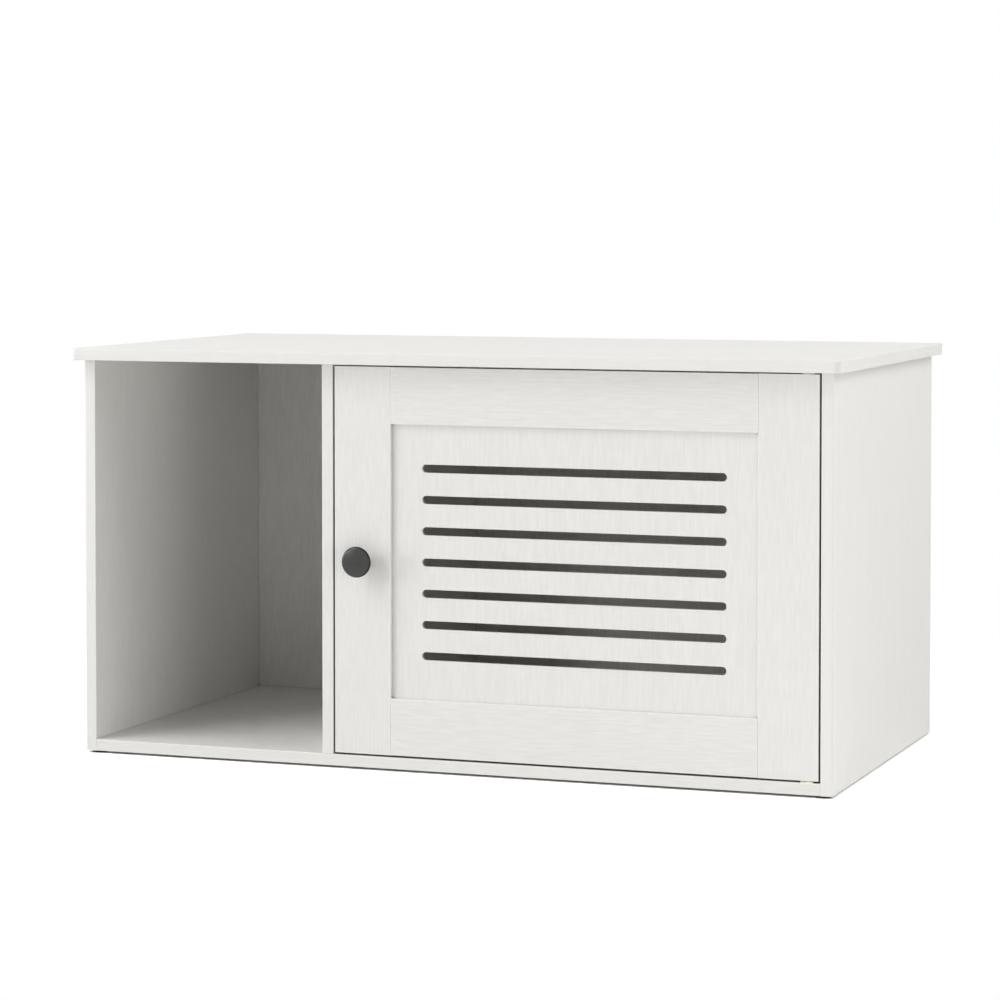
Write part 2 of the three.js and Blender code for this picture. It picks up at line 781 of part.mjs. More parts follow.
// The profile of a pan head, from its seat outwards.
function panHead(seat, diameter, height) {
  const radius = diameter / 2;
  return [
    [seat, radius],
    [seat + height * panShoulderHeight, radius * panShoulderDiameter],
    [seat + height, radius * panCrownDiameter],
  ];
}

// A cross recess in a pan head, as two bars. The head looks along an axis from (x, y, z), the
// middle of its outer face.
function crossRecess(axis, [x, y, z], headDiameter) {
  const length = headDiameter * crossRecessShare;
  return [[length, crossRecessWidth], [crossRecessWidth, length]].map(([u, v]) => {
    const bar = roundedRectangle(-u / 2, -v / 2, u / 2, v / 2);
    return extrude(bar, axis, -crossRecessDepth, overcut).translate([x, y, z]);
  });
}

// A round-headed screw comes through the stile from behind.
function knobScrew() {
  const shank = knobScrewDiameter / 2;
  const screw = turned([
    [-knobScrewDepth, shank * 0.75],
    [-knobScrewDepth + shank / 4, shank],
    [doorThickness, shank],
    ...panHead(doorThickness, knobScrewHeadDiameter, knobScrewHeadHeight),
  ], 'Y', [knobX, 0, knobZ], pivotSegments);
  const face = [knobX, doorThickness + knobScrewHeadHeight, knobZ];
  return cutAll(screw, crossRecess('Y', face, knobScrewHeadDiameter));
}

// ---- Pivot hinges ----------------------------------------------------------------------------

// Both hinges are alike: a steel plate screwed to the case with a hole near its front end, and a
// flanged pin set in the end of the door's right stile. "sign" is +1 at the top and -1 below.
function hingeEnd(sign) {
  return sign > 0
    ? { sign, board: topUnderside, doorEdge: doorTop }
    : { sign, board: floorTop, doorEdge: doorBottom };
}

// A turned profile measured outwards from the door's edge, for either end of the door.
function turnedFromDoor(end, profile) {
  const rows = profile.map(([out, radius]) => [end.doorEdge + end.sign * out, radius]);
  if (end.sign < 0) rows.reverse();
  return turned(rows, 'Z', [pivotX, pivotY, 0], pivotSegments);
}

function pivotPin(end) {
  const pin = pivotPinDiameter / 2;
  const tip = doorGap - seatGap;
  return turnedFromDoor(end, [
    [-pivotPinDepth, pin - pivotPinChamfer],
    [-pivotPinDepth + pivotPinChamfer, pin],
    [0, pin],
    [0, pivotFlangeDiameter / 2],
    [pivotFlangeThickness, pivotFlangeDiameter / 2],
    [pivotFlangeThickness, pin],
    [tip - pivotPinChamfer, pin],
    [tip, pin - pivotPinChamfer],
  ]);
}

function pivotPinCuts() {
  return [1, -1].map((sign) => turnedFromDoor(hingeEnd(sign), [
    [-pivotPinDepth - seatGap, pivotPinDiameter / 2 + seatGap],
    [overcut, pivotPinDiameter / 2 + seatGap],
  ]));
}

// Where the plate's screws stand, front to back.
function pivotScrewDepths() {
  const last = pivotPlateFront + pivotPlateLength - pivotScrewEndMargin;
  return [last - pivotScrewSpacing, last];
}

// Turns a profile measured from the plate's free face into the board.
function turnedIntoPlate(end, profile, depth) {
  const free = end.board - end.sign * pivotPlateThickness;
  const rows = profile.map(([along, radius]) => [free + end.sign * along, radius]);
  if (end.sign < 0) rows.reverse();
  return turned(rows, 'Z', [pivotX, depth, 0], smallSegments);
}

function pivotScrew(end, depth) {
  const profile = countersunkScrew(pivotScrewLength, pivotScrewDiameter, pivotScrewHeadDiameter);
  return turnedIntoPlate(end, profile, depth);
}

// The holes of one hinge's screws, through its plate and into the board.
function pivotScrewCuts(end) {
  const profile = countersunkHole(pivotScrewLength, pivotScrewDiameter, pivotScrewHeadDiameter);
  return pivotScrewDepths().map((y) => turnedIntoPlate(end, profile, y));
}

function pivotPlate(end) {
  const shape = roundedRectangle(
    pivotX - pivotPlateWidth / 2, pivotPlateFront,
    pivotX + pivotPlateWidth / 2, pivotPlateFront + pivotPlateLength,
    Array(4).fill(pivotPlateCornerRadius));
  const inner = end.board - end.sign * pivotPlateThickness;
  const low = Math.min(inner, end.board);
  const high = Math.max(inner, end.board);
  const plate = extrude(shape, 'Z', low, high);
  const pinHole = rod('Z', [pivotX, pivotY, 0], pivotPinDiameter + 2 * pivotRunningClearance,
    low - overcut, high + overcut, pivotSegments);
  return cutAll(plate, [pinHole, ...pivotScrewCuts(end)]);
}

// ---- Magnetic catch --------------------------------------------------------------------------

// The catch is screwed to the divider's right face behind the door's free edge. Its magnet and
// two pole plates stand in a pocket that is open to the front.
const catchFront = doorThickness + strikeThickness + strikeGap + polePlateProud;
const catchZ = knobZ;
const catchMiddleX = doorLeft + strikeEdgeMargin + strikeWidth / 2;
const catchBodyWidth = 2 * (catchMiddleX - dividerRight);
const magnetPackWidth = magnetThickness + 2 * polePlateThickness;
const catchScrewPlaces = { lower: -catchScrewSpacing / 2, upper: catchScrewSpacing / 2 };
const catchScrewY = catchFront + catchLength / 2;

function catchHousing() {
  const flange = block(
    [dividerRight, catchFront, catchZ - catchHeight / 2],
    [dividerRight + catchFlangeThickness, catchFront + catchLength, catchZ + catchHeight / 2]);
  const bodySection = roundedRectangle(
    catchZ - catchBodyHeight / 2, dividerRight,
    catchZ + catchBodyHeight / 2, dividerRight + catchBodyWidth,
    [0, 0, catchCornerRadius, catchCornerRadius]);
  const body = extrude(bodySection, 'Y', catchFront, catchFront + catchLength, cornerSegments);
  const halfWidth = magnetPackWidth / 2 + seatGap;
  const halfHeight = polePlateHeight / 2 + seatGap;
  const pocket = block(
    [catchMiddleX - halfWidth, catchFront - overcut, catchZ - halfHeight],
    [catchMiddleX + halfWidth, catchFront + magnetLength + seatGap, catchZ + halfHeight]);
  // The screw holes are slots that run front to back, so that the catch can be set in or out.
  // Each is drawn lying flat and stood up against the flange.
  const radius = catchScrewDiameter / 2 + seatGap;
  const reach = catchSlotTravel + radius;
  const slots = Object.values(catchScrewPlaces).map((place) => {
    const outline = drawSlot(new THREE.Shape(), 0, radius, -reach, reach);
    return extrude(outline, 'Z', -overcut, catchFlangeThickness + overcut, cornerSegments)
      .rotate([0, 90, 0])
      .translate([dividerRight, catchScrewY, catchZ + place]);
  });
  return cutAll(flange.add(body), [pocket, ...slots]);
}

function magnetBlock() {
  return block(
    [catchMiddleX - magnetThickness / 2, catchFront + seatGap, catchZ - polePlateHeight / 2],
    [catchMiddleX + magnetThickness / 2, catchFront + magnetLength, catchZ + polePlateHeight / 2]);
}

function polePlate(side) {
  const inner = catchMiddleX + side * magnetThickness / 2;
  const outer = inner + side * polePlateThickness;
  return block(
    [Math.min(inner, outer), catchFront - polePlateProud, catchZ - polePlateHeight / 2],
    [Math.max(inner, outer), catchFront + magnetLength, catchZ + polePlateHeight / 2]);
}

// A pan-headed screw through the catch's flange into the divider.
function catchScrew(z) {
  const head = dividerRight + catchFlangeThickness;
  const shank = catchScrewDiameter / 2;
  const tip = head - catchScrewLength;
  const screw = turned([
    [tip, shank / 4],
    [tip + shank, shank],
    [head, shank],
    ...panHead(head, catchScrewHeadDiameter, catchScrewHeadHeight),
  ], 'X', [0, catchScrewY, catchZ + z], smallSegments);
  const face = [head + catchScrewHeadHeight, catchScrewY, catchZ + z];
  return cutAll(screw, crossRecess('X', face, catchScrewHeadDiameter));
}

function catchScrewCuts() {
  return Object.values(catchScrewPlaces).map((z) => rod('X', [0, catchScrewY, catchZ + z],
    catchScrewDiameter + 2 * seatGap,
    dividerRight + catchFlangeThickness - catchScrewLength - seatGap, dividerRight + overcut,
    smallSegments));
}

// The steel strike plate on the back of the door, which the magnet holds.
function strikePlate() {
  const shape = roundedRectangle(
    catchZ - strikeHeight / 2, catchMiddleX - strikeWidth / 2,
    catchZ + strikeHeight / 2, catchMiddleX + strikeWidth / 2,
    Array(4).fill(strikeCornerRadius));
  const plate = extrude(shape, 'Y', doorThickness, doorThickness + strikeThickness,
    cornerSegments);
  return plate.subtract(strikeScrewCut());
}

// Turns a profile measured from the strike plate's free face forwards into the stile.
function turnedIntoStrike(profile) {
  const face = doorThickness + strikeThickness;
  const rows = profile.map(([along, radius]) => [face - along, radius]).reverse();
  return turned(rows, 'Y', [catchMiddleX, 0, catchZ], smallSegments);
}

const strikeScrew = () => turnedIntoStrike(
  countersunkScrew(strikeScrewLength, strikeScrewDiameter, strikeScrewHeadDiameter));
const strikeScrewCut = () => turnedIntoStrike(
  countersunkHole(strikeScrewLength, strikeScrewDiameter, strikeScrewHeadDiameter));

// ---- Feet ------------------------------------------------------------------------------------

// A round pad under each corner, across the joint between the side and the bottom panel.
function footPad(x, y) {
  const radius = footDiameter / 2;
  return turned([
    [-footHeight, radius - footChamfer],
    [-footHeight + footChamfer, radius],
    [0, radius],
  ], 'Z', [x, y, 0], footSegments);
}

// ---- Assembly --------------------------------------------------------------------------------

addPiece(carcass, 'left_side_panel', leftSidePanel(), whiteLaminate());
addPiece(carcass, 'right_side_panel', rightSidePanel(), whiteLaminate());
addPiece(carcass, 'bottom_panel', bottomPanel(), whiteLaminate());
addPiece(carcass, 'top_panel', topPanel(), whiteLaminate());
addPiece(carcass, 'divider_panel', dividerPanel(), whiteLaminate());

for (const [place, x, y] of [
  ['front_left', footInset, footInset],
  ['front_right', bodyWidth - footInset, footInset],
  ['rear_left', footInset, bodyDepth - footInset],
  ['rear_right', bodyWidth - footInset, bodyDepth - footInset],
]) {
  addPiece(carcass, `foot_pad_${place}`, footPad(x, y), blackRubber());
}

for (const [place, sign] of [['top', 1], ['bottom', -1]]) {
  const end = hingeEnd(sign);
  addPiece(carcass, `${place}_hinge_plate`, pivotPlate(end), zincSteel());
  pivotScrewDepths().forEach((y, i) => {
    addPiece(carcass, `${place}_hinge_screw_${i + 1}`, pivotScrew(end, y), zincSteel());
  });
  addPiece(door, `${place}_hinge_pin`, pivotPin(end), zincSteel());
}

addPiece(carcass, 'catch_housing', catchHousing(), whitePlastic());
addPiece(carcass, 'catch_magnet', magnetBlock(), darkFerrite());
addPiece(carcass, 'catch_pole_plate_left', polePlate(-1), zincSteel());
addPiece(carcass, 'catch_pole_plate_right', polePlate(1), zincSteel());
for (const [place, z] of Object.entries(catchScrewPlaces)) {
  addPiece(carcass, `catch_screw_${place}`, catchScrew(z), zincSteel());
}

addPiece(door, 'door_left_stile', leftStile(), whiteLaminate());
addPiece(door, 'door_right_stile', rightStile(), whiteLaminate());
addPiece(door, 'door_top_rail', doorRail(recessTop, doorTop), whiteLaminate());
addPiece(door, 'door_bottom_rail', doorRail(doorBottom, recessBottom), whiteLaminate());
addPiece(door, 'door_slotted_panel', slottedPanel(), whiteLaminate());
addPiece(door, 'door_knob', doorKnob(), knobLacquer());
addPiece(door, 'knob_screw', knobScrew(), zincSteel());
addPiece(door, 'strike_plate', strikePlate(), zincSteel());
addPiece(door, 'strike_screw', strikeScrew(), zincSteel());

export default cabinet;
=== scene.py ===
import math

import bpy
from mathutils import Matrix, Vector


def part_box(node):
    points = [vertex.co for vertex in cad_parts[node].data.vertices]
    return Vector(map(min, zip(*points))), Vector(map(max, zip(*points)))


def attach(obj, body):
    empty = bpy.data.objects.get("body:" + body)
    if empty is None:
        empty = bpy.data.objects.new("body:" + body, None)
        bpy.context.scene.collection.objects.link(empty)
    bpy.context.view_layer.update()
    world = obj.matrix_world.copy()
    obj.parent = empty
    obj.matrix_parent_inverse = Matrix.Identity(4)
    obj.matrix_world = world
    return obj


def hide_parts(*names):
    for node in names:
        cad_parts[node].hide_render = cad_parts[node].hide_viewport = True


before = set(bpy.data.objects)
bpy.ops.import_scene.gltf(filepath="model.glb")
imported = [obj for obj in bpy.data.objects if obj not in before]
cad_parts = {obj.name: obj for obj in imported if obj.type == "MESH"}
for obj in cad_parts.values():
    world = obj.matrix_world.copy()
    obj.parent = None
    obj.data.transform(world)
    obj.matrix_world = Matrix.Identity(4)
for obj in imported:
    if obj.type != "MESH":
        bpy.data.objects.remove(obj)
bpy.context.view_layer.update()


# ---- Bottom panel ---------------------------------------------------------------------------
# 15 mm particle board wrapped in white paper foil, which is embossed with a fine wood grain.
# It lies between the two sides, and all four edges are banded with the same foil. The grain
# runs from left to right.

FOIL_WHITE = (0.800, 0.790, 0.766, 1)
FOIL_PORE = (0.738, 0.727, 0.700, 1)
# painted highlight for the arrises, where the foil is worn
FOIL_ARRIS_HIGHLIGHT = (0.860, 0.852, 0.832, 1)
FOIL_GLUE_LINE = (0.560, 0.540, 0.500, 1)
# painted shade for corners and narrow gaps
FOIL_PAINTED_SHADE = (0.190, 0.184, 0.170, 1)
FOIL_ROUGHNESS = (0.46, 0.60)
FOIL_SHINE = 0.3
EMBOSS_STRENGTH = 0.45
EMBOSS_DEPTH = 0.00012  # metres, as are the sizes down to PAINTED_SHADE_REACH
STREAK_SIZE = 0.0028
PORE_SIZE = 0.0012
FIGURE_SIZE = 0.018
STAIN_SIZE = 0.12
BAND_EDGE = 0.0009  # from the arris to the joint between edge band and face foil
BAND_JOINT = 0.00018
# width of the worn band along the arrises, which also carries a painted highlight
ARRIS_WEAR_AND_HIGHLIGHT = 0.0022
WEAR_AND_HIGHLIGHT_PATCH_SIZE = 0.02
PAINTED_SHADE_REACH = 0.006  # how near another face has to be for the painted shade
PAINTED_SHADE_OPENNESS = (0.12, 0.62)  # shares of open air, from full painted shade to none
PORE_LENGTHS = 11  # how many times longer than wide a streak or a pore is
STREAK_SHARE = 0.62  # how far a mark takes the foil's colour to its own, and so below
PORE_SHARE = 0.14
FIGURE_SHARE = 0.16
STAIN_SHARE = 0.05
ARRIS_HIGHLIGHT_SHARE = 0.8
GLUE_LINE_SHARE = 0.22
PAINTED_SHADE_SHARE = 0.95
RUB_SMOOTHING = 0.12
DENT_SHARE = 0.6  # how much of the embossing's depth a pore or a band joint takes
WELD_DISTANCE = 0.00001  # metres
SHARP_ANGLE = math.radians(40)
FACE_WEIGHT = 100  # how far the light on an edge follows the larger face

AXIS = {"X": (1, 0, 0), "Y": (0, 1, 0), "Z": (0, 0, 1)}


class Nodes:
    """Short ways to add nodes to one tree."""

    def __init__(self, tree):
        self.tree = tree

    def add(self, kind, feeds, out=0, **settings):
        """Adds a node. feeds gives inputs by name or number, each a value or another output."""
        made = self.tree.nodes.new("ShaderNode" + kind)
        for key, value in settings.items():
            setattr(made, key, value)
        self.feed(made, feeds)
        return made.outputs[out]

    def feed(self, node, feeds):
        for socket, value in feeds.items():
            if isinstance(value, bpy.types.NodeSocket):
                self.tree.links.new(value, node.inputs[socket])
            else:
                node.inputs[socket].default_value = value

    def math(self, operation, *values):
        return self.add("Math", dict(enumerate(values)), operation=operation)

    def vector(self, operation, *values):
        return self.add("VectorMath", dict(enumerate(values)), operation=operation)

    def noise(self, place, size, detail=2.0, rough=0.5):
        feeds = {"Vector": place, "Scale": 1 / size, "Detail": detail, "Roughness": rough}
        return self.add("TexNoise", feeds)

    def spread(self, value, low, high, to_low=0.0, to_high=1.0):
        """Spreads a value's range from low to high over another range, and stops at its ends."""
        return self.add("MapRange", {0: value, 1: low, 2: high, 3: to_low, 4: to_high})

    def blend(self, share, first, second):
        return self.add("Mix", {0: share, 6: first, 7: second}, out=2, data_type="RGBA")

    def bump(self, height, depth, strength):
        return self.add("Bump", {"Height": height, "Distance": depth, "Strength": strength})

    def split(self, value):
        return self.add("SeparateXYZ", {0: value}).node.outputs


class Finish(Nodes):
    """A material under construction, with its surface shader."""

    def __init__(self, name):
        self.material = bpy.data.materials.new(name)
        self.material.use_nodes = True
        super().__init__(self.material.node_tree)
        self.shader = self.tree.nodes["Principled BSDF"]


def from_arris(finish, place, centre, half):
    """How far a point on a board's face is from the nearest edge of that face, in metres."""
    inside = finish.vector("ABSOLUTE", finish.vector("SUBTRACT", place, centre))
    x, y, z = finish.split(finish.vector("SUBTRACT", half, inside))
    low = finish.math("MINIMUM", x, y)
    high = finish.math("MINIMUM", finish.math("MAXIMUM", x, y), z)
    return finish.math("MAXIMUM", low, high)


def foil(piece, grain, seed, relief, hidden):
    """Foil on one board. The grain runs along one axis, and on a board's ends across it, and
    relief makes it stronger or weaker. hidden is how much of the piece's box is a tongue inside
    its neighbours. Painted shade darkens corners and narrow gaps, wherever another face is
    close, and the worn arrises get a painted highlight."""
    finish = Finish("foil_" + piece)
    low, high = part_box(piece)
    centre = (low + high) / 2
    half = (high - low) / 2 - Vector(hidden)
    thin = min(range(3), key=lambda i: high[i] - low[i])
    along = "XYZ".index(grain)
    across = 3 - thin - along

    place = finish.add("TexCoord", {}, out="Object")
    normal = finish.add("TexCoord", {}, out="Normal")
    run, cross_run = [1.0] * 3, [1.0] * 3
    run[along] = cross_run[across] = 1 / PORE_LENGTHS
    facing_end = finish.math("ABSOLUTE", finish.add(
        "VectorMath", {0: normal, 1: AXIS[grain]}, out="Value", operation="DOT_PRODUCT"))
    on_end = finish.math("GREATER_THAN", facing_end, 0.7)
    shifted = finish.vector("ADD", place, (seed, seed * 0.7, seed * 1.3))
    stretched = finish.add(
        "Mix", {0: on_end, 4: finish.vector("MULTIPLY", shifted, run),
                5: finish.vector("MULTIPLY", shifted, cross_run)}, out=1, data_type="VECTOR")

    streaks = finish.noise(stretched, STREAK_SIZE, 1.0, 0.5)
    pores = finish.noise(stretched, PORE_SIZE, 2.0, 0.55)
    pore = finish.spread(pores, 0.42, 0.58, 1.0, 0.0)
    figure = finish.noise(stretched, FIGURE_SIZE, 2.0, 0.5)
    stain = finish.noise(shifted, STAIN_SIZE, 2.0, 0.5)

    edge = from_arris(finish, place, centre, half)
    joint_offset = finish.math("ABSOLUTE", finish.math("SUBTRACT", edge, BAND_EDGE))
    band_joint = finish.spread(joint_offset, BAND_JOINT * 0.4, BAND_JOINT, 1.0, 0.0)
    # worn band along the arrises, in patches: it smooths the foil, and its lighter colour is a
    # painted highlight
    wear_and_highlight = finish.math(
        "MULTIPLY", finish.spread(edge, 0.0, ARRIS_WEAR_AND_HIGHLIGHT, 1.0, 0.0),
        finish.spread(finish.noise(place, WEAR_AND_HIGHLIGHT_PATCH_SIZE, 4.0, 0.65), 0.30, 0.50, 0.3, 1.0))
    # how open the air is round a point; where it is closed in, the foil gets painted shade
    open_air = finish.add("AmbientOcclusion", {"Distance": PAINTED_SHADE_REACH}, out="AO", samples=8)

    colour = FOIL_WHITE
    for share, shade in (
        (finish.spread(streaks, 0.34, 0.66, 0.0, STREAK_SHARE * relief), FOIL_PORE),
        (finish.math("MULTIPLY", pore, PORE_SHARE * relief), FOIL_PORE),
        (finish.spread(figure, 0.35, 0.65, 0.0, FIGURE_SHARE), FOIL_PORE),
        (finish.spread(stain, 0.4, 0.7, 0.0, STAIN_SHARE), FOIL_PORE),
        # painted highlight on the worn arrises
        (finish.math("MULTIPLY", wear_and_highlight, ARRIS_HIGHLIGHT_SHARE), FOIL_ARRIS_HIGHLIGHT),
        (finish.math("MULTIPLY", band_joint, GLUE_LINE_SHARE), FOIL_GLUE_LINE),
        # painted shade in corners and narrow gaps
        (finish.spread(open_air, *PAINTED_SHADE_OPENNESS, PAINTED_SHADE_SHARE, 0.0), FOIL_PAINTED_SHADE),
    ):
        colour = finish.blend(share, colour, shade)

    gloss = finish.math("SUBTRACT", finish.spread(pores, 0.3, 0.7, *FOIL_ROUGHNESS),
                        finish.math("MULTIPLY", wear_and_highlight, RUB_SMOOTHING))
    dents = finish.math("ADD", finish.math("MULTIPLY", pore, DENT_SHARE),
                        finish.math("MULTIPLY", band_joint, DENT_SHARE))
    surface = finish.bump(
        finish.math("SUBTRACT", 1.0, dents), EMBOSS_DEPTH, EMBOSS_STRENGTH * relief)
    finish.feed(finish.shader, {
        "Base Color": colour, "Roughness": gloss, "Normal": surface,
        "Specular IOR Level": FOIL_SHINE})
    return finish.material


def smooth_curves():
    """Modifier steps that weld a CAD mesh's corners and round off the light on its curves."""
    group = bpy.data.node_groups.new("smooth_curves", "GeometryNodeTree")
    group.interface.new_socket("Geometry", in_out="INPUT", socket_type="NodeSocketGeometry")
    group.interface.new_socket("Geometry", in_out="OUTPUT", socket_type="NodeSocketGeometry")
    came_in = group.nodes.new("NodeGroupInput")
    goes_out = group.nodes.new("NodeGroupOutput")
    weld = group.nodes.new("GeometryNodeMergeByDistance")
    weld.inputs["Distance"].default_value = WELD_DISTANCE
    faces = group.nodes.new("GeometryNodeSetShadeSmooth")
    faces.domain = "FACE"
    edges = group.nodes.new("GeometryNodeSetShadeSmooth")
    edges.domain = "EDGE"
    edges.inputs["Shade Smooth"].default_value = False
    angle = group.nodes.new("GeometryNodeInputMeshEdgeAngle")
    sharp = group.nodes.new("FunctionNodeCompare")
    sharp.inputs[1].default_value = SHARP_ANGLE
    for source, target in (
        (came_in.outputs[0], weld.inputs["Geometry"]),
        (weld.outputs[0], faces.inputs["Geometry"]),
        (faces.outputs[0], edges.inputs["Geometry"]),
        (angle.outputs["Unsigned Angle"], sharp.inputs[0]),
        (sharp.outputs[0], edges.inputs["Selection"]),
        (edges.outputs[0], goes_out.inputs[0]),
    ):
        group.links.new(source, target)
    return group


CURVES = smooth_curves()


def finish_node(piece, material):
    """Gives a CAD piece its finish, and smooth light on its round and eased edges."""
    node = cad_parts[piece]
    node.data.materials.clear()
    node.data.materials.append(material)
    node.modifiers.new("smooth_curves", "NODES").node_group = CURVES
    flats = node.modifiers.new("keep_flats_flat", "WEIGHTED_NORMAL")
    flats.weight = FACE_WEIGHT
    flats.keep_sharp = True


def foil_board(piece, grain, seed, relief=1.0, hidden=(0, 0, 0)):
    """Wraps one CAD board in foil of its own."""
    finish_node(piece, foil(piece, grain, seed, relief, hidden))


foil_board("bottom_panel", "X", seed=0.31)


# ---- Side panels ----------------------------------------------------------------------------
# The two uprights, of the same foiled board with the grain standing. The outer front edge is
# rounded a little more than the rest. They stand on the feet and carry the top.

foil_board("left_side_panel", "Z", seed=1.17, relief=0.75)
foil_board("right_side_panel", "Z", seed=2.43, relief=0.45)


# ---- Divider --------------------------------------------------------------------------------
# The inner upright between the two bays, screwed from below and dowelled to the top. The arched
# hole for the cat is cut in it, and the hole's edge is foiled too.

foil_board("divider_panel", "Z", seed=3.71, relief=0.9)


# ---- Back panel -----------------------------------------------------------------------------
# 3 mm fibreboard with the same foil, its grain standing. It is slid into grooves in the boards
# all round it, a little in from their rear edges.

foil_board("back_panel", "Z", seed=4.59, relief=1.7)


# ---- Top panel ------------------------------------------------------------------------------
# Foiled board that overhangs the case at the front and both ends, with rounded corners. It is
# laid on last and drawn down by the cams.

foil_board("top_panel", "X", seed=5.83, relief=0.5)


# ---- Cams and cam bolts ---------------------------------------------------------------------
# Eight drums of die-cast zinc in blind holes, each of which grips the head of a plated bolt
# that is screwed into the other board. The casting is dull, the bolts are brighter.

ZINC_CAST = (0.430, 0.425, 0.410, 1)
ZINC_CAST_DARK = (0.250, 0.245, 0.235, 1)
PLATED_BRIGHT = (0.620, 0.590, 0.510, 1)
PLATED_DULL = (0.420, 0.400, 0.350, 1)


def metal(name, bright, dull, smooth, rough, mottle, depth):
    """Cast or plated metal: mottled brightness and roughness, over a fine grain."""
    finish = Finish(name)
    place = finish.add("TexCoord", {}, out="Object")
    cloud = finish.noise(place, mottle, 4.0, 0.6)
    grain = finish.noise(place, mottle / 9, 3.0, 0.6)
    share = finish.spread(cloud, 0.38, 0.64)
    colour = finish.blend(share, bright, dull)
    gloss = finish.spread(grain, 0.3, 0.7, smooth, rough)
    finish.feed(finish.shader, {
        "Base Color": colour, "Roughness": gloss, "Metallic": 1.0,
        "Normal": finish.bump(grain, depth, 0.5)})
    return finish.material


cast_zinc = metal("cast_zinc", ZINC_CAST, ZINC_CAST_DARK,
                  smooth=0.45, rough=0.62, mottle=0.004, depth=0.00008)
plated_steel = metal("plated_steel", PLATED_BRIGHT, PLATED_DULL,
                     smooth=0.26, rough=0.40, mottle=0.006, depth=0.00002)
for spot in [f"{height}_{side}_{end}" for height in ("bottom", "top")
             for side in ("left", "right") for end in ("front", "rear")]:
    finish_node("cam_" + spot, cast_zinc)
    finish_node("cam_bolt_" + spot, plated_steel)


# ---- Dowels ---------------------------------------------------------------------------------
# Six beech pegs with chamfered ends, two of them in the bottom's joints and four under the top.
# They keep the boards in line while the cams are turned.

BEECH_LIGHT = (0.560, 0.370, 0.210, 1)
BEECH_DARK = (0.420, 0.250, 0.130, 1)
BEECH_FIBRE = 0.0009  # metres across
BEECH_FIBRE_LENGTHS = 20


def beech(name, grain):
    finish = Finish(name)
    place = finish.add("TexCoord", {}, out="Object")
    run = [1.0] * 3
    run["XYZ".index(grain)] = 1 / BEECH_FIBRE_LENGTHS
    fibres = finish.noise(finish.vector("MULTIPLY", place, run), BEECH_FIBRE, 4.0, 0.6)
    colour = finish.blend(finish.spread(fibres, 0.35, 0.65), BEECH_LIGHT, BEECH_DARK)
    gloss = finish.spread(fibres, 0.3, 0.7, 0.6, 0.8)
    finish.feed(finish.shader, {
        "Base Color": colour, "Roughness": gloss,
        "Normal": finish.bump(fibres, 0.0001, 0.5)})
    return finish.material


lying_beech, standing_beech = beech("lying_beech", "X"), beech("standing_beech", "Z")
for spot in ("bottom_left", "bottom_right"):
    finish_node("dowel_" + spot, lying_beech)
for spot in ("top_left", "top_right", "divider_front", "divider_rear"):
    finish_node("dowel_" + spot, standing_beech)


# ---- Divider screws -------------------------------------------------------------------------
# Two long plated screws come up through the bottom panel into the divider's foot. Their heads
# lie flush in the underside.

for spot in ("front", "rear"):
    finish_node("divider_screw_" + spot, plated_steel)


# ---- Foot pads ------------------------------------------------------------------------------
# Four discs of black rubber, stuck under the corners across the joint between side and bottom.
# Each is moulded with a rounded rim and a shallow dish underneath.

RUBBER_BLACK = (0.012, 0.012, 0.012, 1)
RUBBER_WORN = (0.045, 0.044, 0.042, 1)
RUBBER_GRAIN = 0.0006  # metres, as are the sizes down to PAD_DISH_DEPTH
RUBBER_DUST_SIZE = 0.006
PAD_RIM = 0.0009
PAD_ARRIS = 0.0003
PAD_DISH_DEPTH = 0.0006
PAD_DISH_FLAT = 0.45  # shares of the pad's radius
PAD_DISH = 0.62
PAD_STEPS = 64  # round the axis
PAD_RIM_STEPS = 6


def turned_mesh(name, profile, steps, place, axis):
    """A closed round solid. The profile lists (distance along the axis, radius) pairs, from one
    point on the axis to another."""
    points, faces = [], []
    u, v = [Vector(AXIS[letter]) for letter in "XYZXY"["XYZ".index(axis) + 1:][:2]]
    along = Vector(AXIS[axis])
    rings = []
    for distance, radius in profile:
        if radius == 0:
            rings.append([len(points)])
            points.append(place + along * distance)
            continue
        rings.append(list(range(len(points), len(points) + steps)))
        for i in range(steps):
            turn = 2 * math.pi * i / steps
            points.append(place + along * distance
                          + (u * math.cos(turn) + v * math.sin(turn)) * radius)
    for lower, upper in zip(rings, rings[1:]):
        for i in range(steps):
            j = (i + 1) % steps
            ring = [lower[i % len(lower)], lower[j % len(lower)],
                    upper[j % len(upper)], upper[i % len(upper)]]
            faces.append(list(dict.fromkeys(ring)))
    mesh = bpy.data.meshes.new(name)
    mesh.from_pydata(points, [], faces)
    mesh.validate()
    mesh.shade_smooth()
    made = bpy.data.objects.new(name, mesh)
    bpy.context.scene.collection.objects.link(made)
    made.modifiers.new("smooth_curves", "NODES").node_group = CURVES
    return made


def arc_points(centre, radius, start, end, steps):
    """Points on an arc round (distance, radius), between two angles in degrees."""
    points = []
    for i in range(steps + 1):
        angle = math.radians(start + (end - start) * i / steps)
        points.append((centre[0] + radius * math.sin(angle), centre[1] + radius * math.cos(angle)))
    return points


def rubber():
    finish = Finish("black_rubber")
    place = finish.add("TexCoord", {}, out="Object")
    grain = finish.noise(place, RUBBER_GRAIN, 4.0, 0.6)
    dust = finish.noise(place, RUBBER_DUST_SIZE, 4.0, 0.6)
    colour = finish.blend(finish.spread(dust, 0.5, 0.7, 0.0, 0.6), RUBBER_BLACK, RUBBER_WORN)
    finish.feed(finish.shader, {
        "Base Color": colour, "Roughness": finish.spread(grain, 0.3, 0.7, 0.7, 0.9),
        "Normal": finish.bump(grain, 0.0001, 0.6)})
    return finish.material


